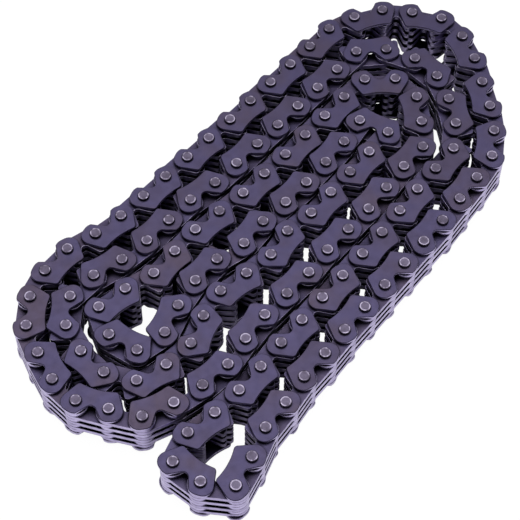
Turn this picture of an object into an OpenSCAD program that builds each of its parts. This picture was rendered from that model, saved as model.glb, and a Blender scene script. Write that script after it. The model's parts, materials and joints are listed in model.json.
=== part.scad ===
// Toothed timing chain for an engine's camshaft drive, lying on its side in a flat coil.
// The chain is a closed loop of 138 links. Guide links and inner links take turns along it.
// A guide link is two guide plates, three outer toothed plates and two riveted pins.
// An inner link is four toothed plates that turn freely on the pins of its neighbours.
// Origin: under the middle of the coil, on the surface that the lower pin ends rest on.
// +X runs along the coil, +Y across it and +Z up, along the pins.

/* [Chain] */
// Distance between neighbouring pins along the chain, mm
pitch = 6.35; // [6.30:0.01:6.50]
// Thickness of a toothed plate, mm
link_t = 1.0; // [0.8:0.05:1.2]
// Thickness of a guide plate, mm
guide_t = 0.7; // [0.5:0.05:0.9]
// Side play between two plates that lie on each other, mm
side_play = 0.06; // [0.04:0.01:0.10]

/* [Pins] */
// Diameter of a pin, mm
pin_d = 2.0; // [1.8:0.05:2.1]
// Diameter of a pin's riveted head, mm
head_d = 2.3; // [2.15:0.05:2.5]
// Height of a riveted head above its guide plate, mm
head_h = 0.55; // [0.4:0.05:0.8]
// Width of the worn edge round a head, mm
head_edge = 0.15; // [0.05:0.05:0.25]
// Radial play of an inner plate on its pin, mm
running_play = 0.04; // [0.02:0.01:0.08]

/* [Toothed plates] */
// Radius of the rounded end round each bore, mm
eye_r = 2.44; // [2.30:0.02:2.46]
// Distance of a tooth's tip centre from the middle of the plate, mm
tooth_x = 2.44; // [2.30:0.02:2.50]
// Distance of a tooth's tip centre below the pin line, mm
tooth_y = 3.05; // [2.80:0.05:3.10]
// Radius of a tooth's tip, mm
tooth_r = 0.70; // [0.60:0.02:0.72]
// Distance of the crotch's centre below the pin line, mm
crotch_y = 1.40; // [1.30:0.05:1.60]
// Radius of the crotch between the teeth, mm
crotch_r = 0.76; // [0.60:0.02:0.80]

/* [Guide plates] */
// Radius of a guide plate's back above each bore, mm
back_r = 2.46; // [2.30:0.02:2.48]
// Height of that back's centre above the pin line, mm
back_y = 0.13; // [0.05:0.01:0.20]
// Distance of the shoulder's centre from the middle of the plate, mm
shoulder_x = 3.96; // [3.80:0.02:3.98]
// Height of the shoulder's centre above the pin line, mm
shoulder_y = 0.32; // [0.26:0.02:0.50]
// Radius of the shoulder, mm
shoulder_r = 2.02; // [1.80:0.02:2.04]
// Radius of the notch in the middle of the back, mm
notch_r = 1.02; // [0.90:0.02:1.10]
// Height of the notch's centre above the pin line, mm
notch_y = 1.15; // [1.00:0.05:1.20]
// Angle of each side of the notch from upright, degrees
notch_angle = 40; // [34:1:42]
// Distance of a lower corner's centre from the middle of the plate, mm
toe_x = 3.44; // [3.20:0.02:3.46]
// Distance of that corner's centre below the pin line, mm
toe_y = 2.98; // [2.90:0.02:3.00]
// Radius of the lower corner, mm
toe_r = 0.76; // [0.60:0.02:0.78]
// Depth of the lower edge below the pin line at its middle, mm
hollow_y = 3.30; // [3.20:0.02:3.34]

/* [Hidden] */
$fn = 40;

// The coil's route. A row is [number of links, heading in degrees from +X]. The loop is followed
// clockwise, so that its inside, where the teeth point, is always on the right.
bight_headings = [-175, -175, -178, -178, -178, -178, -178, -176, -178];
rear_run = [[1, 2], [1, -15], [1, -8], [5, -1], [5, 0]];
right_turn = [
    [1, -18], [1, -31], [1, -55], [1, -64], [1, -99], [1, -119], [2, -129], [1, -136],
    [1, -147], [1, -172]
];
front_run = [for (h = bight_headings) [1, h]];
bight_turn = [
    [1, -172], [1, -175], [1, -162], [1, -166], [1, -236], [1, -267], [1, -343], [1, -369],
    [1, -363]
];
back_run = [for (i = [len(bight_headings) - 1 : -1 : 0]) [1, bight_headings[i] - 180]];
inner_right_turn = [
    [2, -357], [1, -327], [1, -310], [1, -300], [1, -276], [1, -252], [1, -223]
];
second_run = [
    [6, -180], [1, -181], [1, -188], [2, -180], [1, -186], [1, -195], [1, -181]
];
left_turn = [[1, -143], [1, -110], [1, -94], [1, -65], [1, -17], [1, -4], [1, 20], [1, 11]];
fifth_run = [[1, -10], [1, -7], [1, 10], [1, -7], [4, 2]];
fold = [[1, 103], [1, 189]];
fourth_run = [
    [1, 184], [1, 182], [1, 180], [1, 176], [1, 185], [1, 166], [1, 181], [1, 191],
    [1, 199], [1, 168]
];
left_fold = [[1, 99], [1, 61], [1, -9], [1, -16]];
third_run = [[2, 3], [2, -6], [2, -1], [3, 1], [1, -3]];
middle_turn = [[1, -47], [1, -98], [1, -133], [1, -140]];
sixth_run = [
    [1, -179], [2, -175], [2, -180], [1, -175], [2, -181], [1, -174], [1, -170],
    [1, -186], [1, -194], [1, -203]
];
last_turn = [[1, -243], [1, -245], [1, -273], [1, -291], [1, -295]];
route = concat(
    rear_run, right_turn, front_run, bight_turn, back_run, inner_right_turn, second_run,
    left_turn, fifth_run, fold, fourth_run, left_fold, third_run, middle_turn, sixth_run,
    last_turn
);

// Number of links in a list of rows
function links_in(rows, i = 0) = i < len(rows) ? rows[i][0] + links_in(rows, i + 1) : 0;
// One heading for each link
headings = [for (row = route) for (n = [1 : row[0]]) row[1]];
// Pins one pitch apart along the headings, starting at [0, 0]
function step(p, i) =
    i < len(headings) ? p + pitch * [cos(headings[i]), sin(headings[i])] : p;
walk = [
    for (i = 0, p = [0, 0]; i <= len(headings); p = step(p, i), i = i + 1) p
];
// The last two links close the loop, with their shared pin outside the straight line
gap = walk[0] - walk[len(walk) - 1];
gap_heading = atan2(gap.y, gap.x) + acos(norm(gap) / 2 / pitch);
closing_pin = walk[len(walk) - 1] + pitch * [cos(gap_heading), sin(gap_heading)];
loop = concat(walk, [closing_pin]);
links = len(loop);
// The coil's middle is halfway between its outermost pins
function low(points) = [min([for (p = points) p.x]), min([for (p = points) p.y])];
function high(points) = [max([for (p = points) p.x]), max([for (p = points) p.y])];
pins_xy = [for (p = loop) p - (low(loop) + high(loop)) / 2];

// Link numbers: even links are guide links, odd ones are inner links
run_links = len(bight_headings);
front_first = links_in(rear_run) + links_in(right_turn);
bight_first = front_first + run_links;
back_first = bight_first + links_in(bight_turn);
coil_first = back_first + run_links;
all_links = [for (i = [0 : links - 1]) i];
coil_links = [for (i = all_links) if (i < front_first || i >= coil_first) i];
bight_links = [for (i = all_links) if (i >= bight_first && i < back_first) i];
// The runs on each side of the bight are counted from the coil outwards
function front_link(k) = front_first + k - 1;
function back_link(k) = coil_first - k;
function guide_links(list) = [for (i = list) if (i % 2 == 0) i];
function inner_links(list) = [for (i = list) if (i % 2 == 1) i];

// Layers, counted up from the lower guide plate
toothed_layers = 7;
layer_step = link_t + side_play;
first_layer_z = head_h + guide_t + side_play;
upper_guide_z = first_layer_z + toothed_layers * layer_step;
pin_length = upper_guide_z + guide_t + head_h;
inner_layers = [0, 2, 4, 6];
outer_layers = [1, 3, 5];

steel = [0.40, 0.37, 0.47];
dark_steel = [0.33, 0.31, 0.40];
bright_steel = [0.60, 0.57, 0.66];

function turn(v, a) = [v.x * cos(a) - v.y * sin(a), v.x * sin(a) + v.y * cos(a)];
// Unit normal where a line touches two circles, on the given side of the way from a to b.
// A negative radius puts that circle on the line's other side.
function touch(a, ra, b, rb, side) =
    let (d = b - a) turn(d / norm(d), side * acos((ra - rb) / norm(d)));

// Two circles with straight sides that touch both
module strap(a, ra, b, rb) {
    left = touch(a, ra, b, rb, 1);
    right = touch(a, ra, b, rb, -1);
    translate(a) circle(ra);
    translate(b) circle(rb);
    polygon([a + ra * left, b + rb * left, b, b + rb * right, a + ra * right, a]);
}

// Outline of a toothed plate, with its bores at x = -pitch / 2 and x = pitch / 2
module toothed_outline(bore_r) {
    tooth = [tooth_x, -tooth_y];
    crotch = [0, -crotch_y];
    flank = touch(tooth, tooth_r, crotch, -crotch_r, 1);
    on_tooth = tooth + tooth_r * flank;
    on_crotch = crotch - crotch_r * flank;
    difference() {
        union() {
            for (s = [-1, 1]) strap([s * pitch / 2, 0], eye_r, [s * tooth_x, -tooth_y], tooth_r);
            polygon([
                [-pitch / 2, eye_r], [pitch / 2, eye_r], [pitch / 2, 0], tooth, on_tooth,
                on_crotch, crotch, [-on_crotch.x, on_crotch.y], [-on_tooth.x, on_tooth.y],
                [-tooth_x, -tooth_y], [-pitch / 2, 0]
            ]);
        }
        translate(crotch) circle(crotch_r);
        for (s = [-1, 1]) translate([s * pitch / 2, 0]) circle(bore_r);
    }
}

// Outline of a guide plate: no teeth, a notched back and a slightly hollow lower edge
module guide_outline() {
    toe = [toe_x, -toe_y];
    // The hollow's arc passes through its middle point and touches both lower corners
    drop = hollow_y - toe_y;
    hollow_r = (pow(toe_x, 2) + pow(drop, 2) - pow(toe_r, 2)) / 2 / (toe_r - drop);
    hollow = [0, -hollow_y - hollow_r];
    on_toe = toe + toe_r * (hollow - toe) / norm(hollow - toe);
    side = [sin(notch_angle), cos(notch_angle)];
    on_notch = [notch_r * cos(notch_angle), notch_y - notch_r * sin(notch_angle)];
    notch_top = on_notch + 2 * back_r * side;
    difference() {
        union() {
            for (s = [-1, 1]) {
                strap([s * pitch / 2, back_y], back_r, [s * shoulder_x, shoulder_y], shoulder_r);
                strap([s * shoulder_x, shoulder_y], shoulder_r, [s * toe_x, -toe_y], toe_r);
            }
            polygon([
                [-pitch / 2, notch_y], [pitch / 2, notch_y], toe, on_toe,
                [-on_toe.x, on_toe.y], [-toe.x, toe.y]
            ]);
        }
        translate([0, notch_y]) circle(notch_r);
        polygon([
            [0, notch_y], on_notch, notch_top, [-notch_top.x, notch_top.y],
            [-on_notch.x, on_notch.y]
        ]);
        translate(hollow) circle(hollow_r);
        for (s = [-1, 1]) translate([s * pitch / 2, 0]) circle(pin_d / 2);
    }
}

// A riveted pin: a shank with a spun head at each end, each with a shallow dish
module riveted_pin() {
    shank_r = pin_d / 2;
    head_r = head_d / 2;
    dish = head_edge;
    rotate_extrude()
        polygon([
            [0, dish], [head_r / 2, 0], [head_r - head_edge, 0], [head_r, head_edge],
            [head_r, head_h], [shank_r, head_h], [shank_r, pin_length - head_h],
            [head_r, pin_length - head_h], [head_r, pin_length - head_edge],
            [head_r - head_edge, pin_length], [head_r / 2, pin_length],
            [0, pin_length - dish]
        ]);
}

// Places its children on each of the given links, with the link's pins along x
module on_links(list) {
    for (i = list) {
        a = pins_xy[i];
        b = pins_xy[(i + 1) % links];
        translate([(a.x + b.x) / 2, (a.y + b.y) / 2, 0]) rotate(atan2(b.y - a.y, b.x - a.x))
            children();
    }
}

module lower_guide_plates(list) {
    color(steel) on_links(guide_links(list))
        translate([0, 0, head_h]) linear_extrude(guide_t) guide_outline();
}

module upper_guide_plates(list) {
    color(steel) on_links(guide_links(list))
        translate([0, 0, upper_guide_z]) linear_extrude(guide_t) guide_outline();
}

module outer_plates(list, layers = outer_layers) {
    color(dark_steel) on_links(guide_links(list)) for (layer = layers)
        translate([0, 0, first_layer_z + layer * layer_step]) linear_extrude(link_t)
            toothed_outline(pin_d / 2);
}

module inner_plates(list, layers = inner_layers) {
    color(dark_steel) on_links(inner_links(list)) for (layer = layers)
        translate([0, 0, first_layer_z + layer * layer_step]) linear_extrude(link_t)
            toothed_outline(pin_d / 2 + running_play);
}

module pins(list) {
    color(bright_steel) on_links(guide_links(list))
        for (s = [-1, 1]) translate([s * pitch / 2, 0, 0]) riveted_pin();
}

// The nodes of one link that moves by itself: a guide link has three, an inner link one
module moving_link(i, name) {
    if (i % 2 == 0) {
        union() {
            lower_guide_plates([i]);
            upper_guide_plates([i]);
        }
        outer_plates([i]);
        pins([i]);
    } else {
        inner_plates([i]);
    }
}

function front_name(k) = str("front_link_", k);
function back_name(k) = str("back_link_", k);
function moving_nodes(i, name) =
    i % 2 == 0 ? [for (part = ["_guide_plates", "_outer_plates", "_pins"]) str(name, part)]
    : [str(name, "_inner_plates")];

lower_guide_plates(coil_links);  // coil_lower_guide_plates
upper_guide_plates(coil_links);  // coil_upper_guide_plates
pins(coil_links);  // coil_pins
for (layer = outer_layers)
    outer_plates(coil_links, [layer]);
for (layer = inner_layers)
    inner_plates(coil_links, [layer]);
union() {  // bight_guide_plates
    lower_guide_plates(bight_links);
    upper_guide_plates(bight_links);
}
outer_plates(bight_links);  // bight_outer_plates
inner_plates(bight_links);  // bight_inner_plates
pins(bight_links);  // bight_pins
for (k = [1 : run_links]) {
    moving_link(front_link(k), front_name(k));
    moving_link(back_link(k), back_name(k));
}
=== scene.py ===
"""Cam chain for an engine: a closed toothed chain of blued steel plates on riveted pins, in a flat coil.

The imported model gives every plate's outline, place and bores, and every pin's centre and length.
Here each plate gets its tumbled rims and its blanked edge, each pin its spun heads, and all of them
their steels. Lengths that are written in millimetres are turned to metres by MM.
"""

import json
import math

import bmesh
import bpy
from mathutils import Matrix, Vector, noise

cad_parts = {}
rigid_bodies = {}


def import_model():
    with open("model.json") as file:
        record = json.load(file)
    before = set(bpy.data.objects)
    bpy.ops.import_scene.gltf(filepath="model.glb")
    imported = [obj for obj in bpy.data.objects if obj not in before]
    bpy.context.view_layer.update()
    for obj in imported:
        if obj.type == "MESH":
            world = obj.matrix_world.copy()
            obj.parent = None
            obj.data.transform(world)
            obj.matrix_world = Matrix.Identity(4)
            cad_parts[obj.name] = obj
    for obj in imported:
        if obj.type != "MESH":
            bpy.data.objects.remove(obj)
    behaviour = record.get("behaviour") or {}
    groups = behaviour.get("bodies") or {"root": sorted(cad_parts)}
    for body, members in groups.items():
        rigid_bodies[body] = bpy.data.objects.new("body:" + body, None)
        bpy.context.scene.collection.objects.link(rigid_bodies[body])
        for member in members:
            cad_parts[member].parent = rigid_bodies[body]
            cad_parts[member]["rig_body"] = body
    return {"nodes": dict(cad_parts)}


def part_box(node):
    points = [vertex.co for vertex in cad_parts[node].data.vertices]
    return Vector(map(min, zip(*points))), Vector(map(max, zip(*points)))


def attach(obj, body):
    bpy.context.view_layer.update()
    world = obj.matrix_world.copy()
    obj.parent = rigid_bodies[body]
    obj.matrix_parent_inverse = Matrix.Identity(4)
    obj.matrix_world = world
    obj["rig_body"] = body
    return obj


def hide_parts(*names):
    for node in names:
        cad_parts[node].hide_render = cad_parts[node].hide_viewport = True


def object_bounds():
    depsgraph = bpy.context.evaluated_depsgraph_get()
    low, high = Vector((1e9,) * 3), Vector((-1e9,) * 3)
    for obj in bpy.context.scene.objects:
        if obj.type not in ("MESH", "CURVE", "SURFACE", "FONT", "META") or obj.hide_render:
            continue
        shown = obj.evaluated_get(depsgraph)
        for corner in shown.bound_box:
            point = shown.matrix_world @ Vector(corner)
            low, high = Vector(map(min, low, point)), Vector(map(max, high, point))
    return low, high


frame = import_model()
cad_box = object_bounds()
MM = 0.001


# Camera
# It stands where the photograph was taken from. Its place was solved from the pin heads, which lie
# one pitch apart in one plane.
eye = Vector((-145.88, -112.45, 282.20)) * MM
aim = Vector((-13.29, -1.20, 9.98)) * MM
camera = bpy.data.objects.new("camera", bpy.data.cameras.new("camera"))
camera.data.sensor_fit = "HORIZONTAL"
camera.data.angle = math.radians(17.63)
camera.data.clip_start = 0.01
camera.data.clip_end = 10
level = (aim - eye).to_track_quat("-Z", "Y").to_matrix().to_4x4()
tilt = Matrix.Rotation(math.radians(0.834), 4, "Z")
camera.matrix_world = Matrix.Translation(eye) @ level @ tilt
bpy.context.scene.collection.objects.link(camera)
bpy.context.scene.camera = camera
bpy.context.scene.view_settings.view_transform = "Standard"


# Table top
# A white card under the chain. The camera sees it as white, as in the photograph, and its own matt
# surface keeps the chain's soft shadow. Steel mirrors it white in the open and dark close to the chain.


def linear(hex_colour, alpha=1.0):
    """An sRGB colour such as "5c5470" as the linear values that shaders take."""
    shares = [int(hex_colour[i : i + 2], 16) / 255 for i in (0, 2, 4)]
    return [s / 12.92 if s <= 0.04045 else ((s + 0.055) / 1.055) ** 2.4 for s in shares] + [alpha]


def add(tree, kind, inputs=None, **settings):
    """Adds one shader node with its settings. Each input is a value or another node's output."""
    made = tree.nodes.new("ShaderNode" + kind)
    for name, value in settings.items():
        setattr(made, name, value)
    for name, value in (inputs or {}).items():
        if isinstance(value, bpy.types.NodeSocket):
            tree.links.new(value, made.inputs[name])
        else:
            made.inputs[name].default_value = value
    return made


def new_material(name):
    """An empty material, ready for its nodes."""
    material = bpy.data.materials.new(name)
    material.use_nodes = True
    material.node_tree.nodes.clear()
    return material


table_width = 3000 * MM
bpy.ops.mesh.primitive_plane_add(size=table_width, location=(0, 0, 0))
table = bpy.context.object
table.name = "table_top"
white_card = new_material("matt_white_card")
tree = white_card.node_tree
path = add(tree, "LightPath")
seen = path.outputs["Is Camera Ray"]
glossy = path.outputs["Is Glossy Ray"]
transmitted = path.outputs["Is Transmission Ray"]
mirrored = add(tree, "Math", {0: glossy, 1: transmitted}, operation="MAXIMUM")
matt = add(tree, "BsdfDiffuse", {"Color": linear("e6e6e6")})
faint_matt = add(tree, "BsdfDiffuse", {"Color": linear("626262")})
white = add(tree, "Emission", {"Color": linear("ffffff"), "Strength": 0.97})
photographed = add(tree, "AddShader", {0: faint_matt.outputs[0], 1: white.outputs[0]})
# Painted shade: ambient occlusion darkens the white that steel mirrors of the card close to the chain
open_sky = add(tree, "AmbientOcclusion", {"Distance": 12 * MM}, samples=8).outputs["AO"]
hidden_to_open = {"From Min": 0.15, "From Max": 0.6, "To Min": 0.03, "To Max": 0.9}
shaded = add(tree, "MapRange", {"Value": open_sky} | hidden_to_open)
reflected = add(tree, "Emission", {"Color": linear("ffffff"), "Strength": shaded.outputs[0]})
lit = add(tree, "MixShader", {0: seen, 1: matt.outputs[0], 2: photographed.outputs[0]})
card = add(tree, "MixShader", {0: mirrored.outputs[0], 1: lit.outputs[0], 2: reflected.outputs[0]})
add(tree, "OutputMaterial", {"Surface": card.outputs[0]})
table.data.materials.append(white_card)


# Studio light
# A plain room, pale near the floor and dim above, with one large soft lamp high behind the chain. The
# plates' tops mirror the lamp, and each pin head and plate has a dark edge towards the camera, partly from
# this light and partly from painted shade in the steels.
world = bpy.data.worlds.new("studio_room")
bpy.context.scene.world = world
world.use_nodes = True
tree = world.node_tree
tree.nodes.clear()
room = add(tree, "TexCoord")
height = add(tree, "SeparateXYZ", {0: room.outputs["Generated"]}).outputs["Z"]
floor_to_ceiling = {"From Min": 0.0, "From Max": 0.45, "To Min": 0.65, "To Max": 0.16}
walls = add(tree, "MapRange", {"Value": height} | floor_to_ceiling)
path = add(tree, "LightPath")
seen = path.outputs["Is Camera Ray"]
brightness = add(tree, "Mix", {0: seen, 2: walls.outputs[0], 3: 1.0}, data_type="FLOAT")
air = add(tree, "Background", {"Color": linear("ffffff"), "Strength": brightness.outputs[0]})
add(tree, "OutputWorld", {"Surface": air.outputs[0]})

lamp = bpy.data.objects.new("soft_lamp", bpy.data.lights.new("soft_lamp", "AREA"))
lamp.data.shape = "RECTANGLE"
lamp.data.size = 1.5
lamp.data.size_y = 1.2
lamp.data.energy = 8.2
lamp_place = Vector((286, 247, 1244)) * MM
lamp_aim = (-lamp_place).to_track_quat("-Z", "Y").to_matrix().to_4x4()
lamp.matrix_world = Matrix.Translation(lamp_place) @ lamp_aim
bpy.context.scene.collection.objects.link(lamp)


# Guide plates
# The plates without teeth on the upper and lower face, which keep the chain on its sprocket. They
# are blanked from 0.7 mm strip, hardened, tumbled until every rim is round, and heat-blued.


def speckle(tree, place, spacing_mm, detail=2.0, roughness=0.5):
    """Noise whose grains lie about spacing_mm apart."""
    fineness = {"Scale": 1 / (spacing_mm * MM), "Detail": detail, "Roughness": roughness}
    return add(tree, "TexNoise", {"Vector": place} | fineness)


def blued_steel(name, shades, roughness, grain, mottle_mm, drift, recess_shade_colour=None):
    """Tempered strip steel with a purple-grey oxide skin: each plate comes out of the oven a little
    different, so the shades are mixed by the plate's own tint, and then softly mottled. Given a recess shade
    colour, it paints shade: an ambient occlusion node turns the colour towards it in recesses, corners and
    between plates."""
    material = new_material(name)
    tree = material.node_tree
    place = add(tree, "TexCoord").outputs["Object"]
    tint = add(tree, "Attribute", attribute_name="tint")
    mottle = speckle(tree, place, mottle_mm, 3.0)
    softly = {"From Min": 0.3, "From Max": 0.7, "To Min": -drift, "To Max": drift}
    shift = add(tree, "MapRange", {"Value": mottle.outputs["Fac"]} | softly)
    shade = add(tree, "Math", {0: tint.outputs["Fac"], 1: shift.outputs[0]}, operation="ADD")
    colours = add(tree, "ValToRGB", {"Fac": shade.outputs[0]})
    ramp = colours.color_ramp
    for i, hex_colour in enumerate(shades):
        stop = ramp.elements[i] if i < 2 else ramp.elements.new(1.0)
        stop.position = i / (len(shades) - 1)
        stop.color = linear(hex_colour)
    skin = colours.outputs["Color"]
    if recess_shade_colour:
        # Painted shade: ambient occlusion turns the colour towards the recess colour where neighbours hide
        # the light
        openness = add(tree, "AmbientOcclusion", {"Distance": 2.5 * MM}, samples=8).outputs["AO"]
        unshaded_share = add(tree, "MapRange", {"Value": openness, "From Min": 0.4, "From Max": 0.75})
        # Sockets 6 and 7 of a colour mix are its two colours, and its result is output 2
        shaded_skin = add(tree, "Mix", {0: unshaded_share.outputs[0], 6: linear(recess_shade_colour), 7: skin}, data_type="RGBA")
        skin = shaded_skin.outputs[2]
    # The tumbler's stones leave a fine satin grain, about 0.2 mm, and the oxide is patchy at 1.5 mm.
    satin = speckle(tree, place, 0.2, 4.0, 0.6)
    patches = speckle(tree, place, 1.5, 2.0)
    worn = add(tree, "Math", {0: satin.outputs["Fac"], 1: patches.outputs["Fac"]}, operation="ADD")
    worn_to_matt = {"From Min": 0.7, "From Max": 1.3, "To Min": roughness - 0.07, "To Max": roughness + 0.07}
    matt = add(tree, "MapRange", {"Value": worn.outputs[0]} | worn_to_matt)
    bump = add(tree, "Bump", {"Height": satin.outputs["Fac"], "Strength": grain, "Distance": 0.02 * MM})
    finish = {"Base Color": skin, "Metallic": 1.0, "Roughness": matt.outputs[0]}
    steel = add(tree, "BsdfPrincipled", finish | {"Normal": bump.outputs["Normal"]})
    add(tree, "OutputMaterial", {"Surface": steel.outputs[0]})
    return material


def islands(form):
    """The separate solids of a mesh, each as its list of faces."""
    left = set(form.faces)
    found = []
    for start in form.faces:
        if start not in left:
            continue
        left.discard(start)
        group = [start]
        for face in group:
            for edge in face.edges:
                for other in edge.link_faces:
                    if other in left:
                        left.discard(other)
                        group.append(other)
        found.append(group)
    return found


def body_of(name):
    """The body that carries a node."""
    return frame["nodes"][name]["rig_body"]


# The chain's middle plane, and how far apart points may lie that are one point
stack_middle = (cad_box[0][2] + cad_box[1][2]) / 2
weld = 0.0005 * MM


def tumbled(name, materials, rim):
    """The node's plates as they leave the tumbler: the same outlines and bores, every rim rounded.
    The materials are those of the plate's face, of its blanked edge, and of the rims that turn away
    from the stack and towards it."""
    form = bmesh.new()
    form.from_mesh(frame["nodes"][name].data)
    flat = math.radians(0.5)
    crease = math.radians(50)
    corner = math.radians(60)
    standing = 0.3
    lying = 0.99
    bmesh.ops.remove_doubles(form, verts=form.verts, dist=weld)
    bmesh.ops.dissolve_limit(form, angle_limit=flat, verts=form.verts, edges=form.edges)
    rims = [e for e in form.edges if e.is_manifold and e.calc_face_angle(0) > corner]
    bmesh.ops.bevel(form, geom=rims, offset=rim, segments=2, profile=0.5, affect="EDGES")
    form.normal_update()
    tint = form.faces.layers.float.new("tint")
    for solid in islands(form):
        middle = sum((f.calc_center_median() for f in solid), Vector()) / len(solid)
        own = 0.5 + 0.5 * noise.noise(middle / (3.1 * MM))
        inwards = 1 if middle.z < stack_middle else -1
        for face in solid:
            face[tint] = own
            flatness = abs(face.normal.z)
            face.smooth = flatness < lying
            if flatness < standing:
                face.material_index = 1
            elif flatness < lying:
                face.material_index = 3 if face.normal.z * inwards > 0 else 2
    for edge in form.edges:
        edge.smooth = edge.calc_face_angle(0) < crease
    bmesh.ops.triangulate(form, faces=form.faces)
    mesh = bpy.data.meshes.new(name + "_tumbled")
    form.to_mesh(mesh)
    form.free()
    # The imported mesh's own normals would make the new rims look swollen
    if "custom_normal" in mesh.attributes:
        mesh.attributes.remove(mesh.attributes["custom_normal"])
    for material in materials:
        mesh.materials.append(material)
    piece = bpy.data.objects.new(name + "_tumbled", mesh)
    bpy.context.scene.collection.objects.link(piece)
    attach(piece, body_of(name))
    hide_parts(name)
    return piece


# The face is blued and the blanked edge paler and shiny; the palest rims are a painted highlight, a glint
# where the rims catch the light
# Painted shade: the black that recesses and the gaps between plates turn to
painted_recess_black = "16131d"
plate_shades = ["564f6b", "554d64", "575171", "5a5063", "5b5577"]
edge_shades = ["a89dc6", "bdb2dc", "d0c6ee"]
glint_rim_shades = ["8f86a8", "b8aed2", "ddd4f2"]
face_steel = blued_steel("blued_tumbled_steel", plate_shades, 0.42, 0.35, 7.0, 0.15, painted_recess_black)
# Partly painted sheen: the walls' pale steel is a shiny blanked edge and also stands in for its reflection
# of the white floor
edge_steel = blued_steel("blanked_steel_edge", edge_shades, 0.36, 0.5, 1.2, 0.3, painted_recess_black)
# Painted highlight: the rims' pale steel stands in for the glint where rims catch the light
glint_rim_steel = blued_steel("painted_glint_plate_rim", glint_rim_shades, 0.34, 0.5, 1.2, 0.5)
guide_finish = [face_steel, edge_steel, face_steel, glint_rim_steel]
guide_rim = 0.14 * MM
for name in sorted(frame["nodes"]):
    if "guide_plates" in name:
        tumbled(name, guide_finish, guide_rim)


# Toothed plates
# Outer plates sit tight on their link's pins and inner plates turn on their neighbours' pins. Both
# are blanked from 1 mm strip with two teeth each, and their flanks are shaved smooth.
toothed_finish = [face_steel, edge_steel, glint_rim_steel, glint_rim_steel]
toothed_rim = 0.07 * MM
for name in sorted(frame["nodes"]):
    if "outer_plates" in name or "inner_plates" in name:
        tumbled(name, toothed_finish, toothed_rim)


# Riveted pins
# Drawn steel wire, 2 mm, case-hardened. A tool that wobbles round the end spins it over into a low round
# head: a flat, dimpled top, a rim with a painted highlight, and a side painted dark as shade.


def pin_profile(lowest, highest, shank_r, head_r, head_h):
    """Half of a pin's section, from the middle of one end to the middle of the other. Each point
    is its radius, its height and the material of the band that begins there."""
    # The rim band carries a painted highlight and the side band painted shade
    top, rim, side = 0, 1, 2
    head = [(0.0, 0.045, top), (0.25, 0.04, top), (0.5, 0.025, top), (0.7, 0.02, top), (0.85, 0.0, rim)]
    head += [(0.91, 0.01, rim), (0.96, 0.09, side), (1.0, 0.22, side), (1.0, 0.85, side), (0.96, 0.97, side)]
    points = [(r * head_r, depth * head_h, band) for r, depth, band in head] + [(shank_r, head_h, side)]
    lower = [(r, lowest + depth, band) for r, depth, band in points]
    upper = [(r, highest - depth) for r, depth, band in reversed(points)]
    bands = [side] + [band for r, depth, band in reversed(points[:-1])]
    return lower + [(r, z, band) for (r, z), band in zip(upper, bands)]


# The wire's radius and the height of a spun head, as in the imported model
shank_r = 1.0 * MM
head_h = 0.55 * MM


def riveted_pins(name, materials, turns=36):
    """The node's pins, each on its own centre, with both of its heads spun over."""
    low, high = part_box(name)
    form = bmesh.new()
    form.from_mesh(frame["nodes"][name].data)
    bmesh.ops.remove_doubles(form, verts=form.verts, dist=weld)
    centres = []
    for solid in islands(form):
        points = {v for face in solid for v in face.verts}
        xs, ys = [p.co.x for p in points], [p.co.y for p in points]
        centres.append(((min(xs) + max(xs)) / 2, (min(ys) + max(ys)) / 2))
        head_r = (max(xs) - min(xs)) / 2
    form.free()
    profile = pin_profile(low.z, high.z, shank_r, head_r, head_h)
    vertices, faces, tints, bands = [], [], [], []
    for cx, cy in centres:
        first = len(vertices)
        start = math.tau * noise.cell(Vector((cx, cy, 0)) / MM)
        for r, z, band in profile[1:-1]:
            for i in range(turns):
                angle = start + math.tau * i / turns
                vertices.append((cx + r * math.cos(angle), cy + r * math.sin(angle), z))
        bottom = len(vertices)
        vertices += [(cx, cy, profile[0][1]), (cx, cy, profile[-1][1])]
        rings = len(profile) - 2
        for i in range(turns):
            j = (i + 1) % turns
            faces.append((bottom, first + j, first + i))
            for k in range(rings - 1):
                at, up = first + k * turns, first + (k + 1) * turns
                faces.append((at + i, at + j, up + j, up + i))
            last = first + (rings - 1) * turns
            faces.append((last + i, last + j, bottom + 1))
            bands += [band for r, z, band in profile[:-1]]
        own = 0.5 + 0.5 * noise.noise(Vector((cx, cy, 0)) / (2.3 * MM))
        tints += [own] * (len(faces) - len(tints))
    mesh = bpy.data.meshes.new(name + "_riveted")
    mesh.from_pydata(vertices, [], faces)
    mesh.attributes.new("tint", "FLOAT", "FACE").data.foreach_set("value", tints)
    mesh.shade_smooth()
    mesh.set_sharp_from_angle(angle=math.radians(60))
    for material in materials:
        mesh.materials.append(material)
    mesh.polygons.foreach_set("material_index", bands)
    piece = bpy.data.objects.new(name + "_riveted", mesh)
    bpy.context.scene.collection.objects.link(piece)
    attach(piece, body_of(name))
    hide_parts(name)
    return piece


# The top is grey and dimpled; the rim's pale, uneven colour is a painted highlight, and the side's dark
# colour is painted shade
top_steel = blued_steel("spun_pin_steel", ["5c5566", "6b6378", "787087"], 0.42, 0.8, 0.9, 0.3)
pin_rim_glint_steel = blued_steel("painted_glint_pin_rim", ["5c5566", "8a8198", "b4abc4"], 0.36, 0.6, 0.9, 0.9)
pin_side_shade_steel = blued_steel("painted_shade_pin_side", ["2c2836", "383344", "443e52"], 0.48, 0.6, 0.9, 0.3)
for name in sorted(frame["nodes"]):
    if name.endswith("_pins"):
        riveted_pins(name, [top_steel, pin_rim_glint_steel, pin_side_shade_steel])
